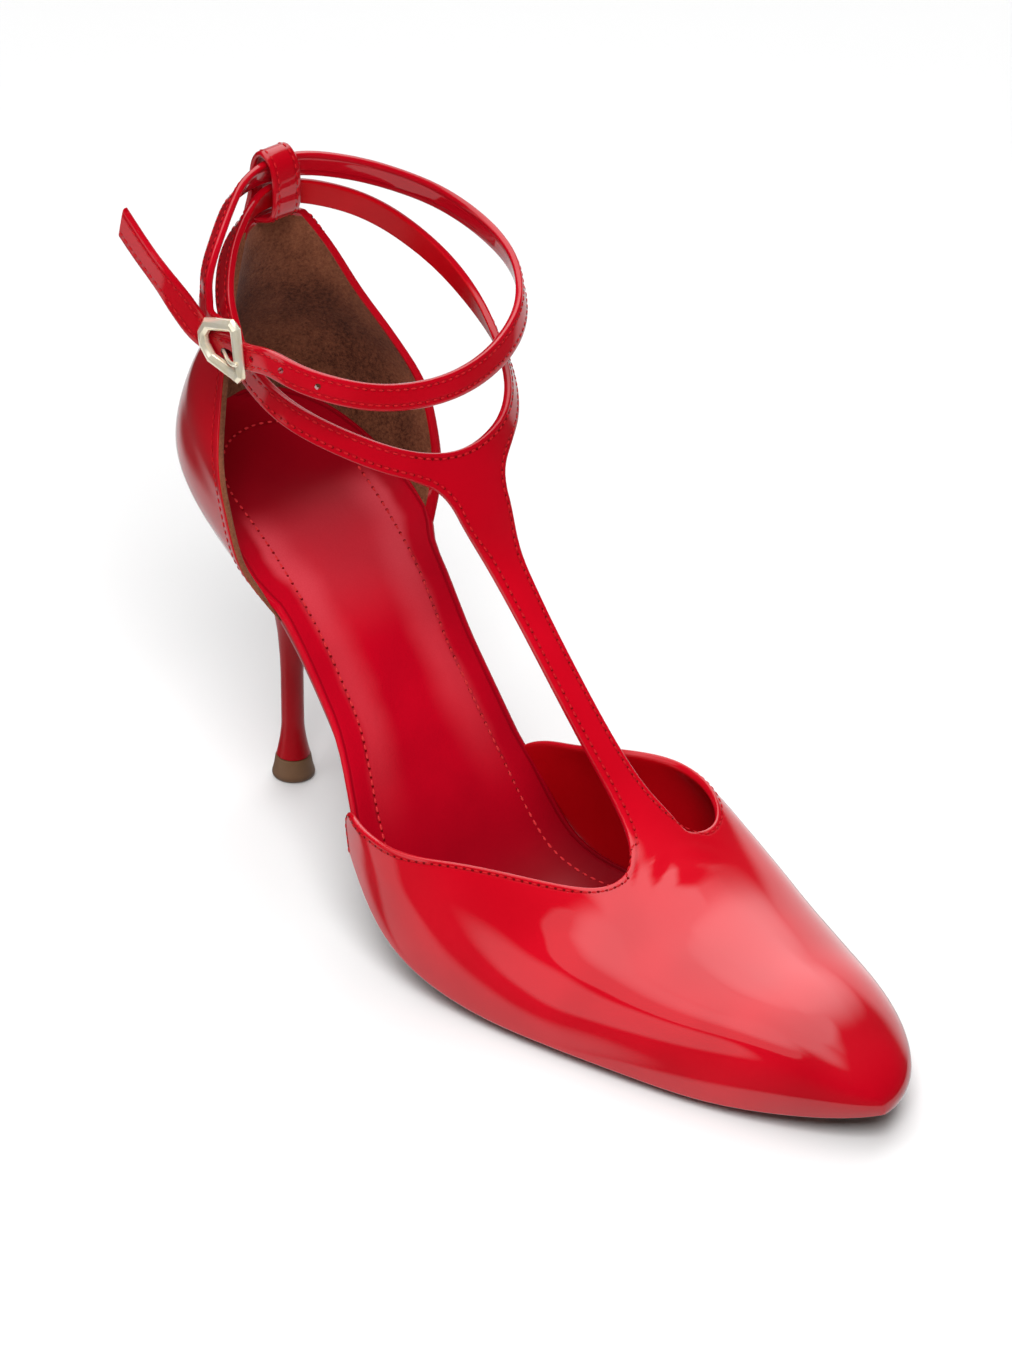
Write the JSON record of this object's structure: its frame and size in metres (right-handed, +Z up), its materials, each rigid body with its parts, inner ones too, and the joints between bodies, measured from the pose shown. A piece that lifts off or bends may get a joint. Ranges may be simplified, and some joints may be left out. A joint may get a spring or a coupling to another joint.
{
  "type": "strap pump",
  "caption": "Right stiletto pump with an almond toe, T-bar, open waist, cupped heel and a buckled ankle strap through a heel loop; stands empty on its sole.",
  "frame": {"origin": "centre of the shoe's bounding box, on the floor", "axes": "+Z up, toe towards -Y, heel towards +Y, outer side of the foot towards -X"},
  "size_m": [0.0822, 0.2222, 0.1639],
  "materials": {
    "insole": "satin red leather",
    "outsole": "dark brown sole leather",
    "patent": "glossy red patent leather",
    "heel": "dark red glossy leather cover",
    "top_piece": "tan hard rubber",
    "buckle": "polished pale gold plating"
  },
  "bodies": {
    "root": {"insole": "insole", "outsole": "outsole", "vamp": "patent", "counter": "patent", "heel": "heel", "heel_top_piece": "top_piece", "heel_loop": "patent", "sling_strap": "patent", "ankle_strap": "patent", "buckle_frame": "buckle", "buckle_prong": "buckle"}
  },
  "joints": []
}
